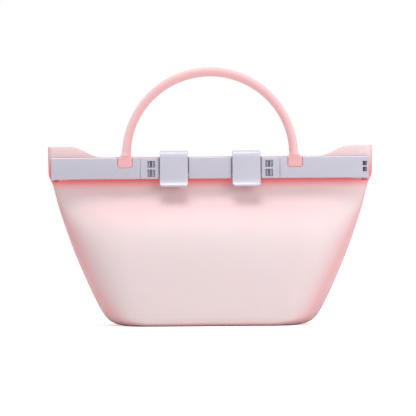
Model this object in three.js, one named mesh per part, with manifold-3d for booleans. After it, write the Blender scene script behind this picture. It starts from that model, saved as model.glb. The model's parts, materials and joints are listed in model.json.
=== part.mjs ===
// Reusable silicone bag with a hinged plastic mouth frame, two latch clips and two arched handles.
// Millimetres, +Z up. The origin is the middle of the base, the front of the bag faces -Y.
import * as THREE from 'three'
import { mergeVertices } from 'three/addons/utils/BufferGeometryUtils.js'
import Module from 'manifold-3d'

const wasm = await Module()
wasm.setup()

// ---- driving dimensions ----
const GAP = 0.3 // clearance between neighbouring pieces
const WALL = 1.7 // silicone thickness

// mouth frame: two identical rails, each a centre bar with an arm at either end
const RAIL_BOTTOM = 138.5
const RAIL_TOP = 158.8
const RAIL_INNER = 4.5 // distance of a rail's inner face from the mid plane
const RAIL_OUTER = 12
const RAIL_MID = (RAIL_INNER + RAIL_OUTER) / 2
const RAIL_EDGE = 1.1 // rounding of the rail's long edges
const RAIL_END = 150
const CENTRE_END = 65.8 // where the centre bar stops and the arm begins

// knuckle hinge between the centre bar and an arm
const HINGE_X = 55.8
const HINGE_WINDOW = 7 // width of the two windows over the knuckles
const HINGE_FACE = 1.8 // thickness of the wall that holds the windows
const KNUCKLES = [[140.5, 147.3], [149.2, 155.5]]
const KNUCKLE_R = 3.2
const KNUCKLE_SLOT = 2.2 // snap-in mouth of each knuckle
const TONGUE_RELIEF_X = 60
const TONGUE_RELIEF_Y = 8
const PIN_R = 1
const PIN_HOLE_R = 1.2

// hinge that joins the front rail to the rear rail at each end
const END_X = 146.2
const END_R = 2.8
const END_KNUCKLES = [[144.3, 148.6], [150, 154.2]]
const END_WINDOW = 3.9
const END_SLOT = [1.35, 1.9] // half sizes of the hole that lets the linkage run free
const END_PIN_HEAD_R = 2.4
const END_PIN_TIP = 136.6

// latch clips
const CLIP_X = 34.3
const CLIP_WIDTH = 26.5
const CLIP_THICK = 2.2
const CLIP_TOP = 165.1
const CLIP_BOTTOM = 131.3
const CLIP_PLATE_Y = -13.6 // middle of the front plate
const CLIP_PIVOT = [-10.6, 142] // y and z
const CLIP_BOSS_R = 2.1
const CLIP_BOSS_HOLE_R = 1
const CLIP_PIN_R = 0.8
const CLIP_PIN_GRIP = 1.5
const POCKET_WIDTH = 28.6
const POCKET_FLOOR = 8

// handles: one in each rail
const ARCH_R = 79.8
const ARCH_Z = 160.4
const STRAP_R = 3.9
const BEND_Z = 168 // height about which the arch bends over
const FOOT_X = 80.4
const FOOT_WIDTH = 14.4
const FOOT_BOTTOM = 149.1
const FOOT_TOP = 160.6
const FOOT_ROUND = 2.4
const FOOT_THICK = 7.1
const FOOT_SOCKET = [4.5, 2.95] // half sizes of the socket for the neck
const NECK_STUB_R = 2.4
const NECK_COLLAR_R = 4.2

// bag: half width and half depth of the outside at each height, and the length of its rounded ends
const BAG_TOP = 169.7
const LIP_TOP = 159.6
const EAR_START = 103
const EAR_FLAT = 132
const BAG_LEVELS = [
  { z: 0, width: 84, depth: 33, end: 30 },
  { z: 1.6, width: 90.5, depth: 36.5, end: 32 },
  { z: 4.7, width: 96.6, depth: 38.6, end: 34 },
  { z: 9, width: 100.8, depth: 39.6, end: 36 },
  { z: 24, width: 109.4, depth: 39.8, end: 40 },
  { z: 45, width: 119.1, depth: 39.2, end: 46 },
  { z: 68, width: 128.7, depth: 37, end: 52 },
  { z: 82, width: 133.9, depth: 34, end: 56 },
  { z: 92, width: 137.2, depth: 30.2, end: 60 },
  { z: 100, width: 140, depth: 25.6, end: 64 },
  { z: 106, width: 142, depth: 21.2, end: 66 },
  { z: 112, width: 143.8, depth: 16, end: 64 },
  { z: 118, width: 145.4, depth: 11.2, end: 56 },
  { z: 124, width: 146.9, depth: 7.6, end: 42 },
  { z: 130, width: 148.4, depth: 5.5, end: 28 },
  { z: 135, width: 150, depth: 4.6, end: 18 },
  { z: 139, width: 152, depth: 4.1, end: 12 },
  { z: 145, width: 153.6, depth: 4.1, end: 8 },
  { z: BAG_TOP, width: 153.8, depth: 4.1, end: 8 },
]
const END_STEPS = 6 // facets in a quarter of the bag's rounded ends

const FACETS = 16

// ---- materials ----
const silicone = () => new THREE.MeshStandardMaterial({ color: 0xe9c3c6, roughness: 0.55, metalness: 0 })
const plastic = () => new THREE.MeshStandardMaterial({ color: 0xc5c2d0, roughness: 0.35, metalness: 0 })
const steel = () => new THREE.MeshStandardMaterial({ color: 0x8d8d94, roughness: 0.3, metalness: 1 })

// ---- solids ----
function toSolid(geometry) {
  const flat = geometry.clone()
  flat.deleteAttribute('normal')
  flat.deleteAttribute('uv')
  const merged = mergeVertices(flat, 1e-4)
  return new wasm.Manifold(new wasm.Mesh({
    numProp: 3,
    vertProperties: new Float32Array(merged.attributes.position.array),
    triVerts: new Uint32Array(merged.index.array),
  }))
}

function toGeometry(solid) {
  const mesh = solid.getMesh()
  const geometry = new THREE.BufferGeometry()
  geometry.setAttribute('position', new THREE.BufferAttribute(mesh.vertProperties, mesh.numProp))
  geometry.setIndex(new THREE.BufferAttribute(mesh.triVerts, 1))
  return geometry
}

function block(x0, x1, y0, y1, z0, z1) {
  const geometry = new THREE.BoxGeometry(x1 - x0, y1 - y0, z1 - z0)
  return toSolid(geometry.translate((x0 + x1) / 2, (y0 + y1) / 2, (z0 + z1) / 2))
}

function rodZ(radius, x, y, z0, z1) {
  const geometry = new THREE.CylinderGeometry(radius, radius, z1 - z0, FACETS)
  return toSolid(geometry.rotateX(Math.PI / 2).translate(x, y, (z0 + z1) / 2))
}

function rodX(radius, x0, x1, y, z) {
  const geometry = new THREE.CylinderGeometry(radius, radius, x1 - x0, FACETS)
  return toSolid(geometry.rotateZ(Math.PI / 2).translate((x0 + x1) / 2, y, z))
}

// a shape drawn in Y and Z, pushed along X
function alongX(shape, x0, x1, curveSegments = 6) {
  const geometry = new THREE.ExtrudeGeometry(shape, { depth: x1 - x0, bevelEnabled: false, curveSegments })
  const turn = new THREE.Matrix4().makeBasis(
    new THREE.Vector3(0, 1, 0), new THREE.Vector3(0, 0, 1), new THREE.Vector3(1, 0, 0))
  return toSolid(geometry.applyMatrix4(turn).translate(x0, 0, 0))
}

// a shape drawn in X and Z, pushed along Y
function alongY(shape, y0, y1, curveSegments = 6) {
  const geometry = new THREE.ExtrudeGeometry(shape, { depth: y1 - y0, bevelEnabled: false, curveSegments })
  return toSolid(geometry.rotateX(Math.PI / 2).translate(0, y1, 0))
}

function roundedRectangle(x0, x1, y0, y1, r) {
  const shape = new THREE.Shape()
  shape.moveTo(x0 + r, y0)
  shape.lineTo(x1 - r, y0)
  shape.absarc(x1 - r, y0 + r, r, -Math.PI / 2, 0)
  shape.lineTo(x1, y1 - r)
  shape.absarc(x1 - r, y1 - r, r, 0, Math.PI / 2)
  shape.lineTo(x0 + r, y1)
  shape.absarc(x0 + r, y1 - r, r, Math.PI / 2, Math.PI)
  shape.lineTo(x0, y0 + r)
  shape.absarc(x0 + r, y0 + r, r, Math.PI, 1.5 * Math.PI)
  return shape
}

const railBar = (x0, x1) =>
  alongX(roundedRectangle(-RAIL_OUTER, -RAIL_INNER, RAIL_BOTTOM, RAIL_TOP, RAIL_EDGE), x0, x1, 2)

// ---- front rail; the rear rail is the same rail turned half round ----
function centreBar() {
  let bar = railBar(-CENTRE_END, CENTRE_END)
  for (const side of [-1, 1]) {
    bar = bar.subtract(clipPocket(side))
    bar = bar.subtract(clipPinHoles(side))
    bar = bar.subtract(knuckleRoom(side))
    bar = bar.subtract(rodZ(PIN_HOLE_R, side * HINGE_X, -RAIL_MID, RAIL_BOTTOM - 1, RAIL_TOP - 1))
  }
  return bar
}

function clipPocket(side) {
  const x = side * CLIP_X
  const half = POCKET_WIDTH / 2
  return block(x - half, x + half, -RAIL_OUTER - 1, -POCKET_FLOOR, RAIL_BOTTOM - 1, RAIL_TOP + 1)
}

function clipPinHoles(side) {
  const reach = POCKET_WIDTH / 2 + CLIP_PIN_GRIP + GAP
  const [y, z] = CLIP_PIVOT
  return rodX(CLIP_BOSS_HOLE_R, side * CLIP_X - reach, side * CLIP_X + reach, y, z)
}

// windows in the face, and behind them the room in which the arm's knuckles turn
function knuckleRoom(side) {
  const outer = side * (CENTRE_END + 1)
  const inner = side * (HINGE_X - KNUCKLE_R - GAP)
  let room = block(
    Math.min(side * TONGUE_RELIEF_X, outer), Math.max(side * TONGUE_RELIEF_X, outer),
    -TONGUE_RELIEF_Y, -RAIL_INNER + 1, RAIL_BOTTOM - 1, RAIL_TOP + 1)
  for (const [z0, z1] of KNUCKLES) {
    room = room.add(block(
      Math.min(inner, outer), Math.max(inner, outer),
      -RAIL_OUTER + HINGE_FACE, -RAIL_INNER + 1, z0, z1))
    const x = side * HINGE_X
    room = room.add(block(
      x - HINGE_WINDOW / 2, x + HINGE_WINDOW / 2, -RAIL_OUTER - 1, -RAIL_MID, z0, z1))
  }
  return room
}

// an arm of the front rail: side is -1 for the left arm and 1 for the right arm
function arm(side) {
  const start = CENTRE_END + GAP
  let body = railBar(Math.min(side * start, side * RAIL_END), Math.max(side * start, side * RAIL_END))
  body = body.subtract(footNotch(side))
  for (const [z0, z1] of KNUCKLES) {
    body = body.add(knuckle(side, z0 + GAP, z1 - GAP))
  }
  return side > 0 ? outerEndHinge(body, side) : innerEndHinge(body, side)
}

// one knuckle that snaps on to the hinge pin, with the tongue that carries it
function knuckle(side, z0, z1) {
  const x = side * HINGE_X
  const start = side * (CENTRE_END + GAP + 0.5)
  const front = -RAIL_OUTER + HINGE_FACE + GAP
  const back = -RAIL_INNER - GAP
  return rodZ(KNUCKLE_R, x, -RAIL_MID, z0, z1)
    .add(block(Math.min(x, start), Math.max(x, start), front + GAP, back, z0, z1))
    .subtract(rodZ(PIN_HOLE_R, x, -RAIL_MID, z0 - 1, z1 + 1))
    .subtract(block(
      x - KNUCKLE_SLOT / 2, x + KNUCKLE_SLOT / 2, -RAIL_OUTER, -RAIL_MID, z0 - 1, z1 + 1))
}

function footNotch(side) {
  const half = FOOT_WIDTH / 2 + GAP
  const x = side * FOOT_X
  const shape = roundedRectangle(
    x - half, x + half, FOOT_BOTTOM - GAP, RAIL_TOP + 10, FOOT_ROUND + GAP)
  return alongY(shape, -RAIL_OUTER - 1, -RAIL_INNER + 1)
}

// a lug that reaches from the rail back to the end pin
function endLug(side, z0, z1) {
  const x = side * END_X
  return rodZ(END_R, x, 0, z0, z1)
    .add(block(x - END_R, x + END_R, -RAIL_INNER - 1, 0, z0, z1))
    .subtract(block(x - END_SLOT[0], x + END_SLOT[0], -END_SLOT[1], END_SLOT[1], z0 - 1, z1 + 1))
}

// the end with two windows: its lugs hold the pin above, between and below the other rail's knuckles
function outerEndHinge(body, side) {
  const x = side * END_X
  const half = END_WINDOW / 2
  const [low, high] = END_KNUCKLES
  for (const [z0, z1] of END_KNUCKLES) {
    body = body.subtract(block(x - half, x + half, -RAIL_OUTER - 1, -RAIL_INNER + 1, z0, z1))
  }
  return body
    .add(endLug(side, RAIL_BOTTOM, low[0]))
    .add(endLug(side, low[1], high[0]))
    .add(endLug(side, high[1], RAIL_TOP))
}

// the plain end: its two knuckles stand between the other rail's lugs
function innerEndHinge(body, side) {
  for (const [z0, z1] of END_KNUCKLES) {
    body = body.add(endLug(side, z0 + GAP, z1 - GAP))
  }
  return body
}

// ---- pins ----
const hingePin = (side) =>
  rodZ(PIN_R, side * HINGE_X, -RAIL_MID, RAIL_BOTTOM + GAP, RAIL_TOP - 1 - GAP)

// a rivet-like pin whose pointed head shows under the rails
function endPin(side) {
  const head = RAIL_BOTTOM - GAP
  const profile = [
    new THREE.Vector2(0, END_PIN_TIP),
    new THREE.Vector2(END_PIN_HEAD_R * 0.5, END_PIN_TIP + 0.25),
    new THREE.Vector2(END_PIN_HEAD_R, head - 0.5),
    new THREE.Vector2(END_PIN_HEAD_R, head),
    new THREE.Vector2(PIN_R, head),
    new THREE.Vector2(PIN_R, RAIL_TOP - 0.5),
    new THREE.Vector2(0, RAIL_TOP - 0.5),
  ]
  const lathe = new THREE.LatheGeometry(profile, FACETS)
  return toSolid(lathe.rotateX(Math.PI / 2).translate(side * END_X, 0, 0))
}

const clipPin = (side) => {
  const reach = POCKET_WIDTH / 2 + CLIP_PIN_GRIP
  return rodX(CLIP_PIN_R, side * CLIP_X - reach, side * CLIP_X + reach, ...CLIP_PIVOT)
}

// ---- latch clip ----
// the middle line of the clip in Y and Z, from its pull lip up the face and over both rails
function clipLine() {
  const top = CLIP_TOP - CLIP_THICK / 2
  const line = new THREE.Path()
  line.moveTo(CLIP_PLATE_Y - 3.9, CLIP_BOTTOM + 0.5)
  line.quadraticCurveTo(CLIP_PLATE_Y - 0.3, CLIP_BOTTOM + 2.6, CLIP_PLATE_Y, CLIP_BOTTOM + 7.5)
  line.lineTo(CLIP_PLATE_Y, top - 6)
  line.quadraticCurveTo(CLIP_PLATE_Y, top, CLIP_PLATE_Y + 6.4, top)
  line.lineTo(7, top)
  line.quadraticCurveTo(11.6, top, 12.6, top - 2)
  return line.getPoints(7)
}

// the outline of a strip of even thickness about a line
function stripShape(line, thickness) {
  const left = []
  const right = []
  line.forEach((point, i) => {
    const before = line[Math.max(i - 1, 0)]
    const after = line[Math.min(i + 1, line.length - 1)]
    const along = after.clone().sub(before).normalize()
    const normal = new THREE.Vector2(-along.y, along.x).multiplyScalar(thickness / 2)
    left.push(point.clone().add(normal))
    right.unshift(point.clone().sub(normal))
  })
  return new THREE.Shape([...left, ...right])
}

function clip(side) {
  const x0 = side * CLIP_X - CLIP_WIDTH / 2
  const x1 = side * CLIP_X + CLIP_WIDTH / 2
  const [y, z] = CLIP_PIVOT
  const corners = roundedRectangle(x0 - 0.01, x1 + 0.01, CLIP_BOTTOM - 0.2, CLIP_TOP + 5, 3.2)
  return alongX(stripShape(clipLine(), CLIP_THICK), x0, x1)
    .intersect(alongY(corners, -30, 30, 4))
    .add(rodX(CLIP_BOSS_R, x0, x1, y, z))
    .add(block(x0, x1, CLIP_PLATE_Y, y, z - CLIP_BOSS_R / 2, z + CLIP_BOSS_R / 2))
    .subtract(rodX(CLIP_BOSS_HOLE_R, x0 - 1, x1 + 1, y, z))
}

// ---- handle ----
class Arch extends THREE.Curve {
  constructor(start) {
    super()
    this.start = start
  }

  getPoint(t, target = new THREE.Vector3()) {
    const angle = this.start + t * (Math.PI - 2 * this.start)
    return target.set(ARCH_R * Math.cos(angle), -RAIL_MID, ARCH_Z + ARCH_R * Math.sin(angle))
  }
}

function strap() {
  const start = Math.asin((BEND_Z - ARCH_Z) / ARCH_R)
  const section = new THREE.Shape()
  section.absarc(0, 0, STRAP_R, 0, 2 * Math.PI)
  const tube = new THREE.ExtrudeGeometry(section, {
    steps: 26,
    extrudePath: new Arch(start),
    curveSegments: 5,
  })
  let solid = toSolid(tube)
  for (const side of [-1, 1]) {
    const ball = new THREE.SphereGeometry(STRAP_R, 10, 6)
    ball.translate(side * ARCH_R * Math.cos(start), -RAIL_MID, BEND_Z)
    solid = solid.add(toSolid(ball))
  }
  return solid
}

// the moulded foot held in the rail's notch, with a socket that lets the neck shift as the frame opens
function foot(side) {
  const x = side * FOOT_X
  const half = FOOT_WIDTH / 2
  const [socketX, socketY] = FOOT_SOCKET
  const y = -RAIL_MID
  const outline = roundedRectangle(x - half, x + half, FOOT_BOTTOM, FOOT_TOP, FOOT_ROUND)
  return alongY(outline, y - FOOT_THICK / 2, y + FOOT_THICK / 2)
    .subtract(block(x - socketX, x + socketX, y - socketY, y + socketY, FOOT_BOTTOM + 1.5, FOOT_TOP + 1))
}

function neck(side) {
  const x = side * FOOT_X
  const top = BEND_Z - STRAP_R - GAP
  return rodZ(NECK_STUB_R, x - side, -RAIL_MID, FOOT_BOTTOM + 2.5, top - 1)
    .add(rodZ(NECK_COLLAR_R, x - side, -RAIL_MID, FOOT_TOP + GAP, top))
}

// ---- bag ----
// one level ring: straight front and rear, with elliptic ends
function bagRing(level, inset) {
  const width = level.width - inset
  const depth = level.depth - inset
  const end = Math.min(level.end, width - 1)
  const ring = []
  for (const [sx, sy, from] of [[1, -1, -90], [1, 1, 0], [-1, 1, 90], [-1, -1, 180]]) {
    for (let i = 0; i <= END_STEPS; i++) {
      const angle = THREE.MathUtils.degToRad(from + (90 * i) / END_STEPS)
      const x = sx * (width - end) + end * Math.cos(angle)
      const y = depth * Math.sin(angle)
      if (i < END_STEPS || sx * sy < 0) ring.push(new THREE.Vector3(x, y, level.z))
    }
  }
  return ring
}

function loft(rings) {
  const points = rings.flat()
  const count = rings[0].length
  const index = []
  for (let level = 0; level < rings.length - 1; level++) {
    for (let i = 0; i < count; i++) {
      const a = level * count + i
      const b = level * count + ((i + 1) % count)
      index.push(a, b, b + count, a, b + count, a + count)
    }
  }
  const last = (rings.length - 1) * count
  for (let i = 1; i < count - 1; i++) {
    index.push(0, i + 1, i)
    index.push(last, last + i, last + i + 1)
  }
  const geometry = new THREE.BufferGeometry().setFromPoints(points)
  geometry.setIndex(index)
  return toSolid(geometry)
}

const outside = () => loft(BAG_LEVELS.map((level) => bagRing(level, 0)))

function inside() {
  const [base, ...rest] = BAG_LEVELS
  const rings = [{ ...base, z: WALL }, ...rest.slice(1)]
  rings.push({ ...rings.at(-1), z: BAG_TOP + 1 })
  return loft(rings.map((level) => bagRing(level, WALL + (level.depth < 5 ? 0.15 : 0))))
}

// everything above the lip in the middle, leaving an ear at each end
function aboveLip() {
  const shape = new THREE.Shape()
  const middle = (EAR_START + EAR_FLAT) / 2
  shape.moveTo(-EAR_FLAT, BAG_TOP + 1)
  shape.lineTo(-EAR_FLAT, BAG_TOP)
  shape.bezierCurveTo(-middle, BAG_TOP, -middle, LIP_TOP, -EAR_START, LIP_TOP)
  shape.lineTo(EAR_START, LIP_TOP)
  shape.bezierCurveTo(middle, LIP_TOP, middle, BAG_TOP, EAR_FLAT, BAG_TOP)
  shape.lineTo(EAR_FLAT, BAG_TOP + 1)
  return alongY(shape, -10, 10, 8)
}

// the slot through which the end hinge joins the two rails
function endSlot(side) {
  const x0 = side * (END_X - END_R - 0.5)
  const x1 = side * (RAIL_END + 0.6)
  return block(
    Math.min(x0, x1), Math.max(x0, x1), -10, 10, END_PIN_TIP - 1, RAIL_TOP + 0.5)
}

function bag() {
  return outside().subtract(inside()).subtract(aboveLip())
    .subtract(endSlot(-1)).subtract(endSlot(1))
}

// ---- the scene graph ----
const model = new THREE.Group()
const front = new THREE.Group()
const rear = new THREE.Group()
rear.rotation.z = Math.PI
model.add(front, rear)

function place(group, name, solid, material) {
  const mesh = new THREE.Mesh(toGeometry(solid), material)
  mesh.name = name
  group.add(mesh)
}

place(model, 'bag', bag(), silicone())
for (const [group, rail, flip] of [[front, 'front', 1], [rear, 'rear', -1]]) {
  place(group, `${rail}_centre_bar`, centreBar(), plastic())
  for (const side of [-1, 1]) {
    const hand = side * flip > 0 ? 'right' : 'left'
    place(group, `${rail}_${hand}_arm`, arm(side), plastic())
    place(group, `${rail}_${hand}_hinge_pin`, hingePin(side), steel())
    place(group, `${rail}_${hand}_handle_foot`, foot(side), silicone())
    place(group, `${rail}_${hand}_handle_neck`, neck(side), silicone())
  }
  place(group, `${rail}_handle_strap`, strap(), silicone())
}
for (const [side, hand] of [[-1, 'left'], [1, 'right']]) {
  place(model, `${hand}_end_pin`, endPin(side), plastic())
  place(front, `${hand}_latch_clip`, clip(side), plastic())
  place(front, `${hand}_latch_pin`, clipPin(side), steel())
}

export default model
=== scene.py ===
"""Reusable silicone bag: the looks of the bag, mouth frame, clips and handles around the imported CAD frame."""
import json
import math

import bmesh
import bpy
import numpy as np
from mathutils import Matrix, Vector


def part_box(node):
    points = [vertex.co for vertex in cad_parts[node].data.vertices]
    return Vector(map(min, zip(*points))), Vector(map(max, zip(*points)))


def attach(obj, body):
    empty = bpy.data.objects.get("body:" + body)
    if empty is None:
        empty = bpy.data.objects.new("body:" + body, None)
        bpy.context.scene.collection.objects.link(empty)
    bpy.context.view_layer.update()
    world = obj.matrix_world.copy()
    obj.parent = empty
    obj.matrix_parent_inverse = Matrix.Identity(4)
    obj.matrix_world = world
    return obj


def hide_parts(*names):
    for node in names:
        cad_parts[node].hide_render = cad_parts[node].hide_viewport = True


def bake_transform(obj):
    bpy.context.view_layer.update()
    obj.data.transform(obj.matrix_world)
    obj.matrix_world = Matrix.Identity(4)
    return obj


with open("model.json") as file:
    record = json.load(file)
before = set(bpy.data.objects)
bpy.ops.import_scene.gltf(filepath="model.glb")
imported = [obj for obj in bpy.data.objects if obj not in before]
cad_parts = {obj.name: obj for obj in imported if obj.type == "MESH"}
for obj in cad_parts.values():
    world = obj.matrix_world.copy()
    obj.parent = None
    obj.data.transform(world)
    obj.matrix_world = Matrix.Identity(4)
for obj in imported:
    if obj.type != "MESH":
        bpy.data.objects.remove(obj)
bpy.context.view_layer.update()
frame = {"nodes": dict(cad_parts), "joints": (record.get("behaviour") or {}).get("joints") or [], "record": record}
BODY_OF = {
    node: body
    for body, members in frame["record"]["behaviour"]["bodies"].items()
    for node in members
}

# ---- sizes, in metres, from the frame ----
bar_low, bar_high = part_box("front_centre_bar")
_, arm_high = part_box("front_right_arm")
_, bag_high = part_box("bag")
strap_low, strap_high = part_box("front_handle_strap")
RAIL_BOTTOM, RAIL_TOP = bar_low.z, bar_high.z
RAIL_FACE = -bar_low.y  # distance of a rail's outer face from the mid plane
RAIL_MID = -(bar_low.y + bar_high.y) / 2
RAIL_END = arm_high.x
JOINT = {j["name"]: j for j in frame["joints"]}
HINGE_X = JOINT["front_right_fold"]["pos_m"][0]
BEND_Z = JOINT["front_handle_swing"]["pos_m"][2]

# ---- the bag's outline: half width and half depth at each height, and how long its rounded ends are ----
WALL = 0.0017
BAG_TOP = bag_high.z
LIP_TOP = RAIL_TOP + 0.0008
EAR_START, EAR_FLAT = 0.103, 0.132  # where an ear begins to rise along X, and where it is level
LEVELS = np.array([
    # z, half width, half depth, end length
    (0.0, 84.0, 33.0, 30),
    (1.6, 90.5, 36.5, 32),
    (4.7, 96.6, 38.6, 34),
    (9.0, 100.8, 39.6, 36),
    (24.0, 109.4, 39.8, 40),
    (45.0, 119.1, 39.2, 46),
    (68.0, 128.7, 37.0, 52),
    (82.0, 133.9, 34.0, 56),
    (92.0, 137.2, 30.2, 60),
    (100.0, 140.0, 25.6, 64),
    (106.0, 142.0, 21.2, 66),
    (112.0, 143.8, 16.0, 64),
    (118.0, 145.4, 11.2, 56),
    (124.0, 146.9, 7.6, 42),
    (130.0, 148.4, 5.5, 28),
    (135.0, 150.0, 4.6, 18),
    (139.0, 152.0, 4.1, 12),
    (145.0, 153.6, 4.1, 8),
    (169.7, 153.8, 4.1, 8),
]) / 1000
LIP_FROM = 0.145  # above this height the wall is stretched to meet the lip and the ears
STILL_TO = LEVELS[4, 0]  # below this height the wall stays put when the frame opens


# ---- small helpers ----
def monotone(x, xs, ys):
    """Smooth interpolation that never overshoots its points."""
    h = np.diff(xs)
    d = np.diff(ys) / h
    m = np.zeros(len(xs))
    m[0], m[-1] = d[0], d[-1]
    for i in range(1, len(xs) - 1):
        if d[i - 1] * d[i] > 0:
            a, b = 2 * h[i] + h[i - 1], h[i] + 2 * h[i - 1]
            m[i] = (a + b) / (a / d[i - 1] + b / d[i])
    i = np.clip(np.searchsorted(xs, x) - 1, 0, len(h) - 1)
    t = (x - xs[i]) / h[i]
    near = ys[i] * (1 + 2 * t) * (1 - t) ** 2 + m[i] * h[i] * t * (1 - t) ** 2
    far = ys[i + 1] * t * t * (3 - 2 * t) - m[i + 1] * h[i] * t * t * (1 - t)
    return near + far


def smooth(t):
    t = np.clip(t, 0, 1)
    return t * t * (3 - 2 * t)


def dress(obj, material):
    """Gives the whole mesh one material."""
    obj.data.materials.clear()
    obj.data.materials.append(material)
    obj.data.polygons.foreach_set("material_index", [0] * len(obj.data.polygons))


def new_object(name, verts, faces, smooth_faces=True):
    mesh = bpy.data.meshes.new(name)
    mesh.from_pydata([tuple(v) for v in verts], [], faces)
    mesh.validate()
    obj = bpy.data.objects.new(name, mesh)
    bpy.context.scene.collection.objects.link(obj)
    if smooth_faces:
        mesh.polygons.foreach_set("use_smooth", [True] * len(mesh.polygons))
    return obj


def apply_modifiers(obj):
    """Bakes the object's modifiers into its mesh."""
    bpy.context.view_layer.update()
    graph = bpy.context.evaluated_depsgraph_get()
    mesh = bpy.data.meshes.new_from_object(obj.evaluated_get(graph))
    obj.modifiers.clear()
    obj.data = mesh
    return obj


def shade(obj, angle=35):
    """Smooth shading, with edges sharper than the angle left sharp."""
    limit = math.radians(angle)
    bm = bmesh.new()
    bm.from_mesh(obj.data)
    for edge in bm.edges:
        sharp = len(edge.link_faces) == 2 and edge.calc_face_angle(0) > limit
        edge.smooth = not sharp
    for face in bm.faces:
        face.smooth = True
    bm.to_mesh(obj.data)
    bm.free()
    return obj


def boolean(obj, other, operation):
    modifier = obj.modifiers.new("cut", "BOOLEAN")
    modifier.operation = operation
    modifier.solver = "MANIFOLD"
    modifier.object = other
    apply_modifiers(obj)
    bpy.data.objects.remove(other)
    return obj


def box(x0, x1, y0, y1, z0, z1):
    verts = [(x, y, z) for x in (x0, x1) for y in (y0, y1) for z in (z0, z1)]
    faces = [(0, 1, 3, 2), (4, 6, 7, 5), (0, 4, 5, 1), (2, 3, 7, 6), (0, 2, 6, 4), (1, 5, 7, 3)]
    return outward(new_object("block", verts, faces, False))


def tube_between_rings(rings):
    """A closed skin over a list of rings with the same number of points."""
    count = len(rings[0])
    verts = [tuple(p) for ring in rings for p in ring]
    faces = []
    for level in range(len(rings) - 1):
        for i in range(count):
            a = level * count + i
            b = level * count + (i + 1) % count
            faces.append((a, b, b + count, a + count))
    faces.append(tuple(reversed(range(count))))
    faces.append(tuple(range((len(rings) - 1) * count, len(rings) * count)))
    return verts, faces


def outward(obj):
    bm = bmesh.new()
    bm.from_mesh(obj.data)
    bmesh.ops.recalc_face_normals(bm, faces=bm.faces)
    bm.to_mesh(obj.data)
    bm.free()
    return obj


# ---- materials ----
class Shader:
    """A node material with one Principled shader."""

    def __init__(self, name, color, roughness, **sockets):
        self.material = bpy.data.materials.new(name)
        self.material.use_nodes = True
        self.tree = self.material.node_tree
        self.principled = self.tree.nodes["Principled BSDF"]
        self.set("Base Color", (*color, 1))
        self.set("Roughness", roughness)
        for socket, value in sockets.items():
            self.set(socket.replace("_", " "), value)

    def set(self, socket, value):
        self.principled.inputs[socket].default_value = value

    def node(self, kind, **values):
        node = self.tree.nodes.new(kind)
        for key, value in values.items():
            if hasattr(node, key):
                setattr(node, key, value)
            else:
                node.inputs[key.replace("_", " ")].default_value = value
        return node

    def link(self, source, target):
        self.tree.links.new(source, target)

    def noise(self, scale, detail=3, stretch=(1, 1, 1)):
        where = self.node("ShaderNodeTexCoord")
        mapping = self.node("ShaderNodeMapping")
        mapping.inputs["Scale"].default_value = stretch
        self.link(where.outputs["Object"], mapping.inputs["Vector"])
        noise = self.node("ShaderNodeTexNoise", Scale=scale, Detail=detail)
        self.link(mapping.outputs["Vector"], noise.inputs["Vector"])
        return noise.outputs["Fac"]

    def ramp(self, source, low, high, start=0.3, end=0.7):
        ramp = self.node("ShaderNodeValToRGB")
        ramp.color_ramp.elements[0].position = start
        ramp.color_ramp.elements[1].position = end
        ramp.color_ramp.elements[0].color = (*low, 1)
        ramp.color_ramp.elements[1].color = (*high, 1)
        self.link(source, ramp.inputs["Fac"])
        return ramp.outputs["Color"]

    def spread(self, source, low, high, to_low, to_high):
        """Maps one range to another, with soft ends."""
        spread = self.node("ShaderNodeMapRange", interpolation_type="SMOOTHSTEP")
        for socket, value in (("From Min", low), ("From Max", high), ("To Min", to_low), ("To Max", to_high)):
            spread.inputs[socket].default_value = value
        self.link(source, spread.inputs["Value"])
        return spread.outputs["Result"]

    def math(self, operation, a, b):
        node = self.node("ShaderNodeMath", operation=operation, use_clamp=True)
        self.link(a, node.inputs[0])
        self.link(b, node.inputs[1])
        return node.outputs["Value"]

    def mix(self, share, a, b):
        """Mixes two colours, each a plain one or another node's."""
        node = self.node("ShaderNodeMix", data_type="RGBA")
        self.link(share, node.inputs["Factor"])
        for socket, color in ((node.inputs[6], a), (node.inputs[7], b)):
            if isinstance(color, tuple):
                socket.default_value = (*color, 1)
            else:
                self.link(color, socket)
        return node.outputs[2]

    def vary_roughness(self, source, low, high):
        spread = self.node("ShaderNodeMapRange")
        spread.inputs["To Min"].default_value = low
        spread.inputs["To Max"].default_value = high
        self.link(source, spread.inputs["Value"])
        self.link(spread.outputs["Result"], self.principled.inputs["Roughness"])

    def bump(self, layers):
        """layers is a list of (height, strength, distance)."""
        normal = None
        for height, strength, distance in layers:
            bump = self.node("ShaderNodeBump", Strength=strength, Distance=distance)
            self.link(height, bump.inputs["Height"])
            if normal:
                self.link(normal, bump.inputs["Normal"])
            normal = bump.outputs["Normal"]
        self.link(normal, self.principled.inputs["Normal"])


def height_of(shader):
    """The Z of the point being shaded."""
    where = shader.node("ShaderNodeTexCoord")
    axes = shader.node("ShaderNodeSeparateXYZ")
    shader.link(where.outputs["Object"], axes.inputs["Vector"])
    return axes.outputs["Z"]


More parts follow.
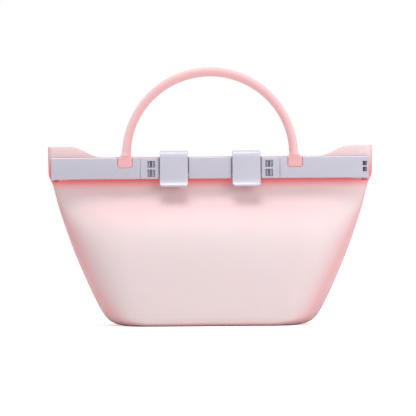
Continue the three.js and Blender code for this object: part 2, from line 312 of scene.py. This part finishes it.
def silicone(name, pale, deep, edge, weight, scatter, rail_shade):
    """Soft moulded silicone: pale face on, deeper where one looks along it, faintly cloudy, with a satin skin.

    The last argument is (color, low, full, high, glow): painted shade under the rails, a deep red tint in a band
    round a height, with a painted glow in it for the light that comes far through the wall.
    """
    shader = Shader(
        name, pale, 0.5,
        Subsurface_Weight=weight,
        Subsurface_Scale=scatter,
        Subsurface_Radius=(1.0, 0.4, 0.36),
        Coat_Weight=0.1,
        Coat_Roughness=0.5,
        Specular_IOR_Level=0.35,
        IOR=1.41,
    )
    view = shader.node("ShaderNodeLayerWeight", Blend=0.5)
    turned = shader.spread(view.outputs["Facing"], 0, edge, 0, 1)
    cloudy = shader.math("ADD", turned, shader.spread(shader.noise(11, 4), 0.3, 0.75, 0, 0.12))
    height = height_of(shader)
    # paler towards the bottom: painted light from below
    amount = shader.math("SUBTRACT", cloudy, shader.spread(height, 0, 0.1, 0.1, 0))
    color = shader.mix(amount, pale, deep)
    tint, low, full, high, glow = rail_shade
    # painted shade under the rails: a deep red band round the rails' lower edge, with a painted glow of its own in
    # it
    shade_fringe = shader.spread(height, low - 0.02, full, 0, 0.22)
    below = shader.math("ADD", shade_fringe, shader.spread(height, low, full, 0, 0.78))
    near = shader.math("MULTIPLY", below, shader.spread(height, full, high, 1, 0))
    color = shader.mix(near, color, tint)
    shader.set("Emission Color", (*tint, 1))
    shader.link(shader.spread(near, 0, 1, 0, glow), shader.principled.inputs["Emission Strength"])
    shader.link(color, shader.principled.inputs["Base Color"])
    shader.vary_roughness(shader.noise(60, 3), 0.44, 0.6)
    shader.bump([(shader.noise(30, 2), 0.08, 0.0006)])
    return shader.material


def clear_silicone(name, pale, deep):
    """Clear tinted silicone, paler on the outside of the arch and deeper on the inside: painted light and painted
    shade of a tube lit from above.

    Its painted glow stands in for the light that comes through it, and the rest of its colour is dimmed to suit.
    """
    shader = Shader(name, pale, 0.5, Specular_IOR_Level=0.2, IOR=1.41)
    outer = shader.node("ShaderNodeAttribute", attribute_name="outer")
    # painted light and shade: paler on the outside of the arch, deeper on the inside
    tint = shader.mix(shader.spread(outer.outputs["Fac"], 0.1, 0.9, 0, 1), deep, pale)
    shader.link(tint, shader.principled.inputs["Emission Color"])
    shader.set("Emission Strength", THROUGH_LIGHT)
    dim = shader.node("ShaderNodeValue")
    dim.outputs[0].default_value = LIT_SHARE
    shader.link(shader.mix(dim.outputs[0], (0, 0, 0), tint), shader.principled.inputs["Base Color"])
    shader.vary_roughness(shader.noise(60, 3), 0.44, 0.6)
    return shader.material


def moulded_plastic(name, color, shade_color):
    """Satin ABS: a very fine spark-eroded grain and faint flow marks along the length."""
    shader = Shader(name, color, 0.36, Specular_IOR_Level=0.5, Coat_Weight=0.1, Coat_Roughness=0.25)
    flow = shader.noise(26, 3, (0.25, 1, 1))
    shader.link(shader.ramp(flow, shade_color, color), shader.principled.inputs["Base Color"])
    shader.vary_roughness(shader.noise(220, 3), 0.3, 0.42)
    shader.bump([(shader.noise(2600, 2), 0.06, 0.00002), (shader.noise(18, 2), 0.03, 0.0004)])
    return shader.material


def shaded_shaft_pin(name):
    """The end pin: a pale head below the rail, and its shaft inside the lugs painted near black as painted shade
    of the windows round it.
    """
    shader = Shader(name, (0.52, 0.51, 0.59), 0.4)
    up = shader.spread(height_of(shader), RAIL_BOTTOM + 0.001, RAIL_BOTTOM + 0.002, 0, 1)
    # painted shade: near black above the rail's lower edge, where the pin sits in the shaded windows
    color = shader.mix(up, (0.56, 0.55, 0.63), (0.02, 0.02, 0.025))
    shader.link(color, shader.principled.inputs["Base Color"])
    shader.vary_roughness(shader.noise(300, 2), 0.34, 0.46)
    return shader.material


def drawn_steel(name):
    shader = Shader(name, (0.42, 0.42, 0.45), 0.3, Metallic=1.0)
    lines = shader.noise(900, 2, (1, 1, 0.05))
    color = shader.ramp(lines, (0.33, 0.33, 0.36), (0.55, 0.55, 0.58))
    shader.link(color, shader.principled.inputs["Base Color"])
    shader.vary_roughness(lines, 0.22, 0.4)
    shader.bump([(lines, 0.1, 0.00003)])
    return shader.material


THROUGH_LIGHT = 0.5  # strength of the handles' painted glow, for the light that comes through them
LIT_SHARE = 0.43  # share of the handles' colour that the lamps light
BAG_SILICONE = silicone(
    "bag_silicone", (0.885, 0.635, 0.64), (0.86, 0.40, 0.42), 0.55, 0.45, 0.012,
    # painted shade under the rails with a painted glow: colour, heights and glow strength
    rail_shade=((0.78, 0.17, 0.18), 0.128, 0.139, 0.164, 0.2),
)
HANDLE_SILICONE = clear_silicone("handle_silicone", (0.90, 0.61, 0.62), (0.90, 0.48, 0.495))
FRAME_PLASTIC = moulded_plastic("frame_plastic", (0.52, 0.51, 0.59), (0.50, 0.49, 0.57))
CLIP_PLASTIC = moulded_plastic("clip_plastic", (0.545, 0.535, 0.615), (0.525, 0.515, 0.595))
END_PIN_PLASTIC = shaded_shaft_pin("end_pin_plastic")
PIN_STEEL = drawn_steel("pin_steel")


# ---- bag ----
END_POINTS = 26
FRONT_POINTS = 60
RING_POINTS = 2 * END_POINTS + FRONT_POINTS - 2
END_X = RAIL_END - 0.0038  # where the end pins stand
SLOT_IN, SLOT_OUT = 0.016, 0.0006  # the slot for the end lugs, inwards and outwards from the rail's end
POCKET = 0.0026  # half width of the pocket round an end pin's head
BASE_TO, SHOULDER_FROM = 0.009, 0.116  # heights where the base's curve ends and the shoulder begins
FOLD = math.radians(21.6)  # how far the arms fold when the frame is fully open


def half_ring(width, depth, end):
    """The front half of the bag's outline at one height, from its left tip round to its right tip."""
    end = min(end, width)
    angles = np.linspace(0, math.pi / 2, END_POINTS)
    left = [(-(width - end) - end * math.cos(a), -depth * math.sin(a)) for a in angles]
    run = np.linspace(-(width - end), width - end, FRONT_POINTS)[1:-1]
    middle = [(x, -depth) for x in run]
    right = [(-x, y) for x, y in reversed(left)]
    return left + middle + right


def top_at(x):
    """Height of the mouth's edge: a low lip in the middle and an ear at each end."""
    return LIP_TOP + (BAG_TOP - LIP_TOP) * smooth((abs(x) - EAR_START) / (EAR_FLAT - EAR_START))


def heights():
    """Heights of the wall's rings, closer together where it curves most."""
    base = BASE_TO * (1 - np.cos(np.linspace(0, math.pi / 2, 14)))
    wall = np.linspace(BASE_TO, SHOULDER_FROM, 40)[1:]
    shoulder = np.linspace(SHOULDER_FROM, LIP_FROM, 26)[1:]
    lip = np.linspace(LIP_FROM, LEVELS[-1, 0], 16)[1:]
    return np.concatenate([base, wall, shoulder, lip])


def soft_offset(x, z, side):
    """The slight unevenness of a soft wall: shallow waves that fade at the frame and the base."""
    fade = smooth((z - 0.006) / 0.03) * smooth((0.132 - z) / 0.03)
    wave = math.sin(x * 21 + side * 1.3) * math.sin(z * 38 + 0.6) + 0.6 * math.sin(x * 37 - z * 22 + side)
    return 0.0007 * fade * wave


def half_shell(side):
    """Front (side -1) or rear (side 1) half of the bag, with its floor, as a wall of even thickness."""
    zs = heights()
    columns = [monotone(zs, LEVELS[:, 0], LEVELS[:, k]) for k in (1, 2, 3)]
    verts, faces = [], []
    for z, width, depth, end in zip(zs, *columns):
        for x, y in half_ring(width, depth, end):
            height = z
            if z > LIP_FROM:
                share = (z - LIP_FROM) / (LEVELS[-1, 0] - LIP_FROM)
                height = LIP_FROM + share * (top_at(x) - LIP_FROM)
            push = soft_offset(x, z, side) * (abs(y) / depth)
            verts.append((x, (y - push) * -side, height))
    for level in range(len(zs) - 1):
        for i in range(RING_POINTS - 1):
            a = level * RING_POINTS + i
            faces.append((a, a + 1, a + 1 + RING_POINTS, a + RING_POINTS))
    centre = len(verts)
    floor_row = [(x, 0.0, 0.0) for x, _ in half_ring(*LEVELS[0, 1:])]
    verts += floor_row
    for i in range(RING_POINTS - 1):
        faces.append((i + 1, i, centre + i, centre + i + 1))
    obj = new_object(("rear" if side > 0 else "front") + "_bag_wall", verts, faces)
    bm = bmesh.new()
    bm.from_mesh(obj.data)
    bmesh.ops.remove_doubles(bm, verts=bm.verts, dist=1e-6)
    bmesh.ops.recalc_face_normals(bm, faces=bm.faces)
    lean = sum((f.normal.y * f.calc_area() for f in bm.faces), 0.0)
    if lean * side < 0:
        bmesh.ops.reverse_faces(bm, faces=bm.faces)
    bm.to_mesh(obj.data)
    bm.free()
    solid = obj.modifiers.new("wall", "SOLIDIFY")
    solid.thickness = WALL
    solid.offset = -1
    solid.use_even_offset = True
    outward(apply_modifiers(obj))
    cut_end_slots(obj, side)
    return obj


def cut_end_slots(obj, side):
    """Cuts the slots for the frame's end lugs, and in the front half a pocket for each end pin's head."""
    for hand in (-1, 1):
        x0, x1 = sorted((hand * (RAIL_END - SLOT_IN), hand * (RAIL_END + SLOT_OUT)))
        boolean(obj, box(x0, x1, -0.01, 0.01, RAIL_BOTTOM - 0.0003, RAIL_TOP + 0.0005), "DIFFERENCE")
        if side < 0:
            x0, x1 = sorted((hand * (END_X - POCKET), hand * (END_X + POCKET)))
            boolean(obj, box(x0, x1, -0.01, 0.001, RAIL_BOTTOM - 0.0022, RAIL_BOTTOM), "DIFFERENCE")


def spread_share(x, z):
    """How far a point of the wall goes with its centre bar as the mouth opens: 0 stays, 1 goes all the way."""
    depths = monotone(np.clip(z, 0, LEVELS[-1, 0]), LEVELS[:, 0], LEVELS[:, 2])
    widest = LEVELS[:, 2].max()
    up = np.where(z < STILL_TO, 0, (widest - depths) / (widest - LEVELS[-1, 2]))
    arm_reach = (END_X - HINGE_X) * math.cos(FOLD)
    widths = monotone(np.clip(z, 0, LEVELS[-1, 0]), LEVELS[:, 0], LEVELS[:, 1])
    still = np.minimum(HINGE_X + arm_reach - 0.0006, widths)
    along = 1 - np.clip((np.abs(x) - HINGE_X) / (still - HINGE_X), 0, 1)
    return np.clip(up, 0, 1) * along


def bend_with_frame(obj):
    """Bakes the wall's placement and works out how far each of its points goes with the centre bar, falling off
    along the folding arms.
    """
    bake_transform(obj)
    points = np.array([v.co for v in obj.data.vertices])
    weights = spread_share(points[:, 0], points[:, 2])


def make_bag():
    for side, rail in ((-1, "front"), (1, "rear")):
        wall = half_shell(side)
        shade(wall, 50)
        dress(wall, BAG_SILICONE)
        bend_with_frame(wall)
        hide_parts("bag")


# ---- rails and pins ----
def refined(node, material, width, segments=2, angle=38):
    """A moulding with the CAD node's exact shape, its flats cleaned and its edges rounded."""
    source = frame["nodes"][node]
    obj = bpy.data.objects.new(node + "_moulding", source.data.copy())
    bpy.context.scene.collection.objects.link(obj)
    obj.data.materials.clear()
    bm = bmesh.new()
    bm.from_mesh(obj.data)
    bmesh.ops.remove_doubles(bm, verts=bm.verts, dist=2e-6)
    bmesh.ops.dissolve_limit(bm, angle_limit=math.radians(1), verts=bm.verts, edges=bm.edges)
    bm.to_mesh(obj.data)
    bm.free()
    shade(obj, 30)
    bevel = obj.modifiers.new("edges", "BEVEL")
    bevel.harden_normals = True
    bevel.width = width
    bevel.segments = segments
    bevel.limit_method = "ANGLE"
    bevel.angle_limit = math.radians(angle)
    bevel.use_clamp_overlap = True
    apply_modifiers(obj)
    dress(obj, material)
    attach(obj, BODY_OF[node])
    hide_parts(node)


def make_frame():
    for node in frame["nodes"]:
        if node.endswith(("_bar", "_arm")):
            refined(node, FRAME_PLASTIC, 0.00042, 3)
        elif node.endswith("_end_pin"):
            refined(node, END_PIN_PLASTIC, 0.00015)
        elif node.endswith("_pin"):
            refined(node, PIN_STEEL, 0.00012)


# ---- latch clips ----
CLIP_THICK = 0.0022
CLIP_CORNER = 0.0032
CLIP_PLATE = -0.0136  # Y of the middle of the clip's face


def clip_line(low, high):
    """Middle line of the clip in Y and Z, from its pull lip up the face and over both rails."""
    plate = CLIP_PLATE
    top = high.z - CLIP_THICK / 2
    bottom = low.z + 0.0003

    def curve(a, b, c, steps=14):
        return [
            tuple((1 - t) ** 2 * np.array(a) + 2 * t * (1 - t) * np.array(b) + t * t * np.array(c))
            for t in np.linspace(0, 1, steps)
        ]

    line = curve((plate - 0.0039, bottom), (plate - 0.0003, bottom + 0.0022), (plate, bottom + 0.0071))
    line += [(plate, z) for z in np.linspace(bottom + 0.0071, top - 0.006, 8)[1:]]
    line += curve((plate, top - 0.006), (plate, top), (plate + 0.0064, top))[1:]
    line += [(y, top) for y in np.linspace(plate + 0.0064, 0.007, 8)[1:]]
    line += curve((0.007, top), (0.0116, top), (0.0126, top - 0.002), 8)[1:]
    return np.array(line)


def rounded_section(half_width, half_thick, corner, steps=4):
    """Points round a flat section with rounded corners: (across, through)."""
    ring = []
    for cx, cy, start in ((1, 1, 0), (-1, 1, 90), (-1, -1, 180), (1, -1, 270)):
        for i in range(steps + 1):
            a = math.radians(start + 90 * i / steps)
            ring.append((
                cx * (half_width - corner) + corner * math.cos(a),
                cy * (half_thick - corner) + corner * math.sin(a),
            ))
    return ring


def refine_ends(line, reach):
    """Adds points near both ends of a line, where the strip's corners are rounded."""
    out = []
    for k, (a, b) in enumerate(zip(line[:-1], line[1:])):
        near = np.linalg.norm(line[0] - a) < reach or np.linalg.norm(line[-1] - b) < reach
        parts = 4 if near else 1
        out += [a + (b - a) * i / parts for i in range(parts)]
    return np.array(out + [line[-1]])


def corner_inset(distance, radius):
    """How far a rounded corner of that radius draws the edge in, at a distance from the end."""
    if distance >= radius:
        return 0.0
    return radius - math.sqrt(max(radius**2 - (radius - distance) ** 2, 0))


def make_clip(node):
    low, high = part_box(node)
    centre = (low.x + high.x) / 2
    half = (high.x - low.x) / 2
    line = refine_ends(clip_line(low, high), CLIP_CORNER)
    length = np.concatenate([[0], np.cumsum(np.linalg.norm(np.diff(line, axis=0), axis=1))])
    rings = []
    for i, (y, z) in enumerate(line):
        along = line[min(i + 1, len(line) - 1)] - line[max(i - 1, 0)]
        along /= np.linalg.norm(along)
        normal = np.array([-along[1], along[0]])
        from_lip, from_hook = length[i], length[-1] - length[i]
        narrow = max(corner_inset(from_lip, CLIP_CORNER), corner_inset(from_hook, 0.0015))
        thin = max(corner_inset(from_lip, CLIP_THICK / 2), corner_inset(from_hook, CLIP_THICK / 2))
        half_thick = max(CLIP_THICK / 2 - thin, 0.00015)
        ring = []
        for across, through in rounded_section(half - narrow, half_thick, min(0.0006, half_thick * 0.98)):
            ring.append((centre + across, y + normal[0] * through, z + normal[1] * through))
        rings.append(ring)
    verts, faces = tube_between_rings(rings)
    obj = outward(new_object(node + "_moulding", verts, faces))
    boolean(obj, clip_boss(low, high), "UNION")
    shade(obj, 32)
    dress(obj, CLIP_PLASTIC)
    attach(obj, BODY_OF[node])
    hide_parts(node)


def round_ring(x, y, z, radius, steps=32):
    """Points of a circle that faces along X."""
    angles = [2 * math.pi * i / steps for i in range(steps)]
    return [(x, y + radius * math.cos(a), z + radius * math.sin(a)) for a in angles]


def clip_boss(low, high):
    """The tube on the back of the clip that turns on the latch pin, with the web that carries it."""
    _, pivot_y, pivot_z = JOINT["left_latch_swing"]["pos_m"]
    radius, hole, edge = 0.0021, 0.001, 0.0002
    profile = [
        (low.x + edge, radius - edge),
        (low.x + 2 * edge, radius),
        (high.x - 2 * edge, radius),
        (high.x - edge, radius - edge),
    ]
    rings = [round_ring(x, pivot_y, pivot_z, r) for x, r in profile]
    boss = outward(new_object("boss", *tube_between_rings(rings)))
    web = box(
        low.x + 2 * edge, high.x - 2 * edge, CLIP_PLATE, pivot_y, pivot_z - radius / 2, pivot_z + radius / 2,
    )
    boolean(boss, web, "UNION")
    inner = [round_ring(x, pivot_y, pivot_z, hole) for x in (low.x - 0.001, high.x + 0.001)]
    boolean(boss, outward(new_object("bore", *tube_between_rings(inner))), "DIFFERENCE")
    return boss


# ---- handles ----
ARCH_STEPS = 120
RING_STEPS = 28
STRAP_R = (strap_high.y - strap_low.y) / 2
ARCH_R = (strap_high.x - strap_low.x) / 2 - STRAP_R
ARCH_Z = strap_high.z - STRAP_R - ARCH_R


def handle_line():
    """Middle line of one handle in X and Z: up from one foot, round the arch, and down to the other."""
    foot_low, foot_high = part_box("front_right_handle_foot")
    foot_x = (foot_low.x + foot_high.x) / 2 - 0.0007
    start = math.asin((BEND_Z - ARCH_Z) / ARCH_R)
    arch = [
        (ARCH_R * math.cos(a), ARCH_Z + ARCH_R * math.sin(a))
        for a in np.linspace(start, math.pi - start, ARCH_STEPS)
    ]
    top_x = arch[0][0]
    leg = []
    leg_low = foot_high.z
    for t in np.linspace(0, 1, 22)[:-1]:
        leg.append((foot_x + (top_x - foot_x) * smooth(t), leg_low + t * (BEND_Z - leg_low)))
    return np.array(leg + arch + [(-x, z) for x, z in reversed(leg)])


def strap_radius(z):
    """The strap is slimmest half way up and a little thicker at the crown and near the feet."""
    near_foot = smooth((0.185 - z) / 0.03)
    crown = smooth((z - 0.2) / 0.035)
    flare = smooth((0.1636 - z) / 0.003) ** 2
    return STRAP_R - 0.00025 + 0.00045 * near_foot + 0.0002 * crown + 0.0009 * flare


def make_strap(rail, sign):
    """The arch with both necks. Its "outer" value is 1 on the outside of the arch and 0 on the inside."""
    y = sign * RAIL_MID
    line = handle_line()
    rings = []
    for i, (x, z) in enumerate(line):
        along = line[min(i + 1, len(line) - 1)] - line[max(i - 1, 0)]
        along /= np.linalg.norm(along)
        normal = np.array([-along[1], along[0]])
        radius = strap_radius(z)
        ring = []
        for a in np.linspace(0, 2 * math.pi, RING_STEPS, endpoint=False):
            inwards = radius * math.cos(a)
            ring.append((x + normal[0] * inwards, y + radius * math.sin(a), z + normal[1] * inwards))
        rings.append(ring)
    obj = outward(new_object(f"{rail}_handle", *tube_between_rings(rings)))
    outer = obj.data.attributes.new("outer", "FLOAT", "POINT")
    for i, value in enumerate(outer.data):
        value.value = (1 - math.cos(2 * math.pi * i / RING_STEPS)) / 2
    shade(obj, 50)
    dress(obj, HANDLE_SILICONE)
    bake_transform(obj)
    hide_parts(f"{rail}_handle_strap", f"{rail}_left_handle_neck", f"{rail}_right_handle_neck")


def make_foot(node):
    """The moulded foot: a pad in the rail's notch, a bead round its upper part, and a taper to the leg."""
    low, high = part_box(node)
    x0 = (low.x + high.x) / 2
    y0 = (low.y + high.y) / 2
    levels = [
        # z above the foot's bottom in metres, then half width, half thickness and corner in millimetres
        (0.0000, 5.9, 2.4, 1.6),
        (0.0004, 6.6, 2.9, 1.9),
        (0.0012, 7.05, 3.3, 2.0),
        (0.0026, 7.15, 3.5, 2.1),
        (0.0060, 7.15, 3.55, 2.1),
        (0.0066, 6.85, 3.35, 2.1),
        (0.0072, 6.8, 3.3, 2.1),
        (0.0078, 7.1, 3.5, 2.2),
        (0.0090, 7.15, 3.6, 2.6),
        (0.0096, 6.8, 3.6, 3.0),
        (0.0103, 5.9, 3.6, 3.3),
        (0.0108, 5.4, 3.6, 3.4),
        (0.0112, 5.1, 3.5, 3.4),
    ]
    rings = []
    zs = np.linspace(0, levels[-1][0], 44)
    table = np.array(levels)
    for z in zs:
        half, thick, corner = [monotone(np.array([z]), table[:, 0], table[:, k])[0] / 1000 for k in (1, 2, 3)]
        corner = min(corner, half * 0.99, thick * 0.99)
        rings.append([
            (x0 + across, y0 + through, low.z + z)
            for across, through in rounded_section(half, thick, corner, 7)
        ])
    obj = outward(new_object(node + "_moulding", *tube_between_rings(rings)))
    shade(obj, 50)
    dress(obj, HANDLE_SILICONE)
    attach(obj, BODY_OF[node])
    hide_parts(node)


# ---- studio ----
AMBIENT = 0.66  # strength of the sky that lights the object
FLOOR_GLOW = 0.55  # brings the floor up to white, for the camera only


def make_camera():
    """Nearly level, from far in front: the rails span most of the picture's width."""
    distance = 2.2
    width = 0.393  # width of the view at the front rail's face
    data = bpy.data.cameras.new("camera")
    data.sensor_width = 36
    data.lens = data.sensor_width * distance / width
    data.clip_start, data.clip_end = 0.05, 30
    camera = bpy.data.objects.new("camera", data)
    bpy.context.scene.collection.objects.link(camera)
    camera.location = (-0.0023, -RAIL_FACE - distance, 0.1107)
    camera.rotation_euler = (math.radians(90), math.radians(0.42), 0)
    bpy.context.scene.camera = camera


def area_light(name, place, aim, size, power):
    data = bpy.data.lights.new(name, "AREA")
    data.shape = "RECTANGLE"
    data.size, data.size_y = size
    data.energy = power
    light = bpy.data.objects.new(name, data)
    bpy.context.scene.collection.objects.link(light)
    light.location = place
    light.rotation_euler = (Vector(aim) - Vector(place)).to_track_quat("-Z", "Y").to_euler()


def make_sky():
    """A plain soft sky, which the camera sees as white."""
    world = bpy.data.worlds.new("studio")
    bpy.context.scene.world = world
    world.use_nodes = True
    if hasattr(world, "cycles"):
        world.cycles.sampling_method = "NONE"  # an even sky needs no light sampling of its own
    tree = world.node_tree
    seen = tree.nodes["Background"]
    seen.inputs["Color"].default_value = (1, 1, 1, 1)
    seen.inputs["Strength"].default_value = 1.0
    soft = tree.nodes.new("ShaderNodeBackground")
    soft.inputs["Color"].default_value = (1, 1, 1, 1)
    soft.inputs["Strength"].default_value = AMBIENT
    path = tree.nodes.new("ShaderNodeLightPath")
    mix = tree.nodes.new("ShaderNodeMixShader")
    tree.links.new(path.outputs["Is Camera Ray"], mix.inputs["Fac"])
    tree.links.new(soft.outputs["Background"], mix.inputs[1])
    tree.links.new(seen.outputs["Background"], mix.inputs[2])
    tree.links.new(mix.outputs["Shader"], tree.nodes["World Output"].inputs["Surface"])


def make_floor():
    floor = new_object("floor", [(-6, -6, 0), (6, -6, 0), (6, 6, 0), (-6, 6, 0)], [(0, 1, 2, 3)], False)
    white = Shader("floor_white", (0.75, 0.75, 0.75), 0.9, Specular_IOR_Level=0.1)
    white.set("Emission Color", (1, 1, 1, 1))
    path = white.node("ShaderNodeLightPath")
    glow = white.spread(path.outputs["Is Camera Ray"], 0, 1, 0, FLOOR_GLOW)
    white.link(glow, white.principled.inputs["Emission Strength"])
    floor.data.materials.append(white.material)


def make_studio():
    bpy.context.scene.view_settings.view_transform = "Standard"
    make_sky()
    make_floor()
    area_light("key", (-0.15, -0.2, 1.95), (0, 0, 0.12), (1.1, 0.8), 27)
    area_light("front", (0.7, -0.65, 0.45), (0, 0, 0.1), (0.5, 0.5), 3.2)


make_camera()
make_studio()
make_bag()
make_frame()
for clip_node in ("left_latch_clip", "right_latch_clip"):
    make_clip(clip_node)
for rail_name, rail_sign in (("front", -1), ("rear", 1)):
    make_strap(rail_name, rail_sign)
    for hand_name in ("left", "right"):
        make_foot(f"{rail_name}_{hand_name}_handle_foot")
